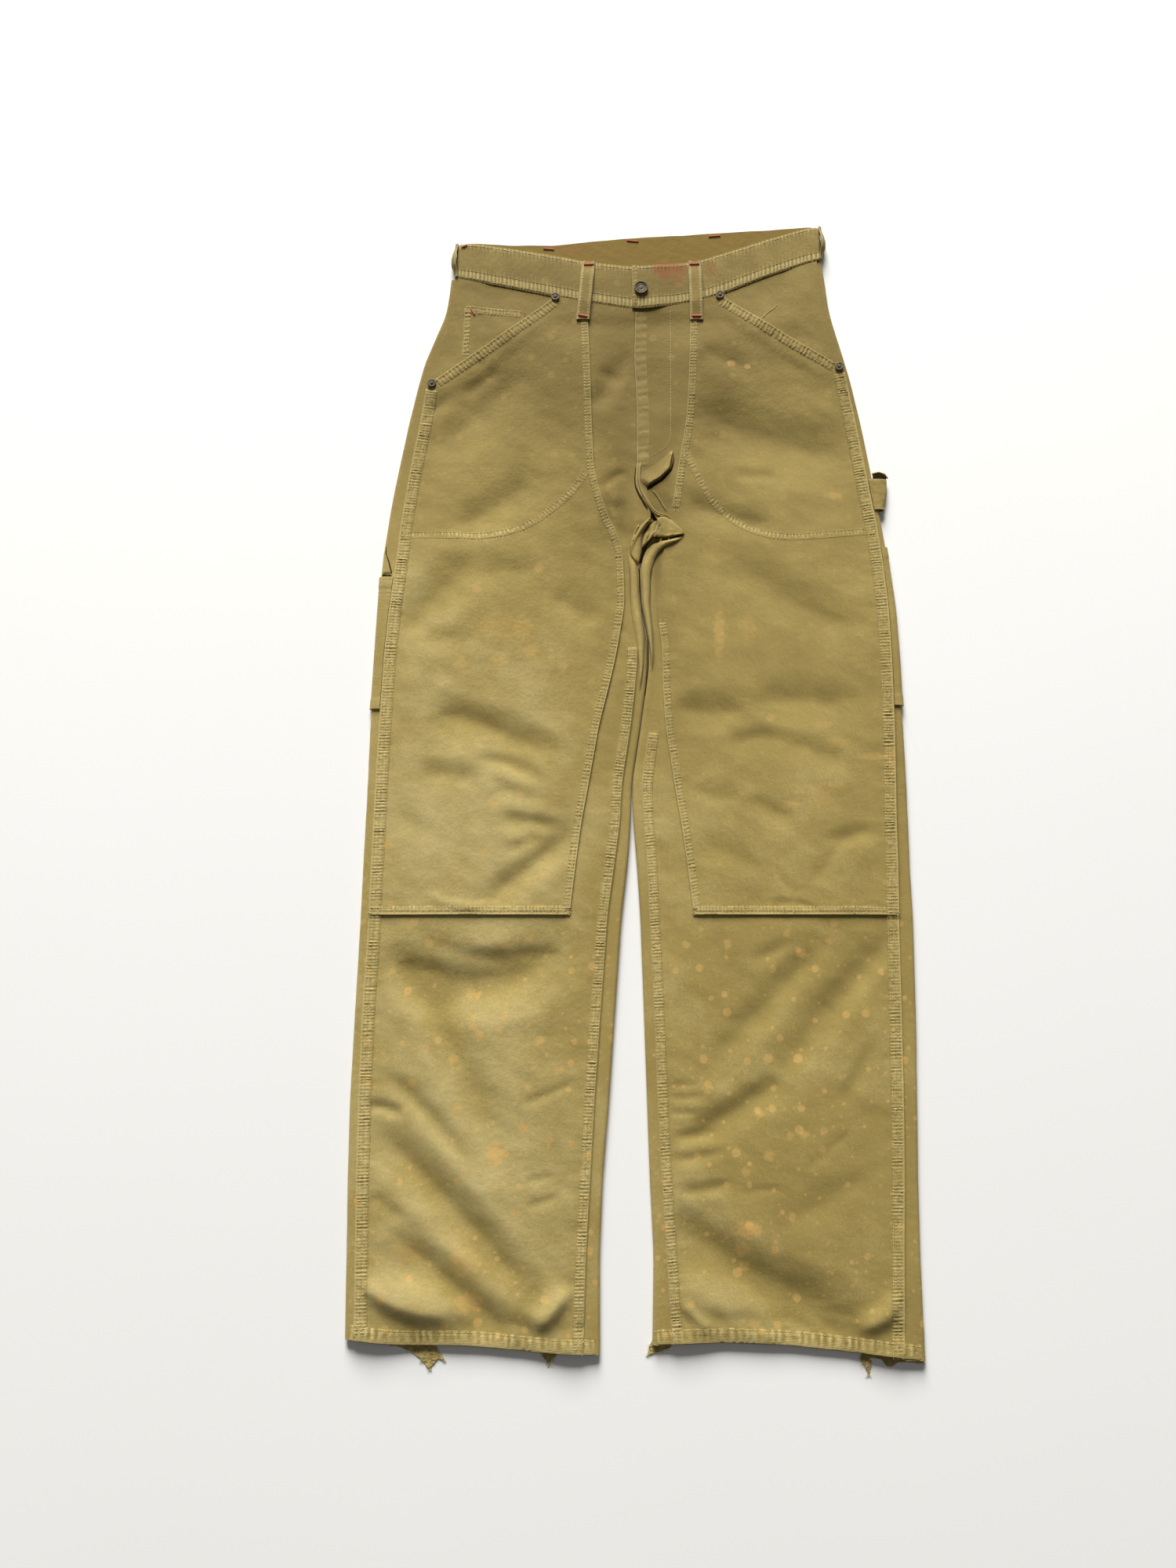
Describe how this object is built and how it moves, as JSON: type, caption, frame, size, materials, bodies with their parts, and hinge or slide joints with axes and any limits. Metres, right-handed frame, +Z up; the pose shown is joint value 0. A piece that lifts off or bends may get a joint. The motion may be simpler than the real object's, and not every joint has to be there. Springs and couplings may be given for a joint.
{
  "type": "carpenter pants",
  "caption": "Work trousers lying flat, front up, with a second layer of cloth from waistband to knee, slash pockets, tool pockets, hammer loop and frayed hems.",
  "frame": {"origin": "middle of the outline, on the surface that the garment lies on", "axes": "+Y from the hems to the waist, +X to the wearer's left, +Z up through the front"},
  "size_m": [0.5226, 1.1152, 0.0141],
  "materials": {
    "faded_cloth": "faded olive khaki cotton drill, worn and spattered",
    "back_cloth": "faded olive khaki cotton drill",
    "trim_cloth": "worn cotton drill with pale edges",
    "antique_metal": "dark antique, satin"
  },
  "bodies": {
    "root": {"front_panel_R": "faded_cloth", "front_panel_L": "faded_cloth", "double_front_R": "faded_cloth", "double_front_L": "faded_cloth", "pocket_facing_R": "faded_cloth", "pocket_facing_L": "faded_cloth", "watch_pocket": "faded_cloth", "tool_pocket_R": "faded_cloth", "tool_pocket_L": "faded_cloth", "back_panel_R": "back_cloth", "back_panel_L": "back_cloth", "waistband": "trim_cloth", "belt_loop_front_R": "trim_cloth", "belt_loop_front_L": "trim_cloth", "belt_loop_side_R": "trim_cloth", "belt_loop_side_L": "trim_cloth", "belt_loop_back_R": "trim_cloth", "belt_loop_back_centre": "trim_cloth", "belt_loop_back_L": "trim_cloth", "hammer_loop_L": "trim_cloth", "hem_fray_R_outer": "trim_cloth", "hem_fray_R_inner": "trim_cloth", "hem_fray_L_inner": "trim_cloth", "hem_fray_L_outer": "trim_cloth", "rivet_top_R": "antique_metal", "rivet_low_R": "antique_metal", "rivet_top_L": "antique_metal", "rivet_low_L": "antique_metal", "waist_button": "antique_metal"}
  },
  "joints": []
}
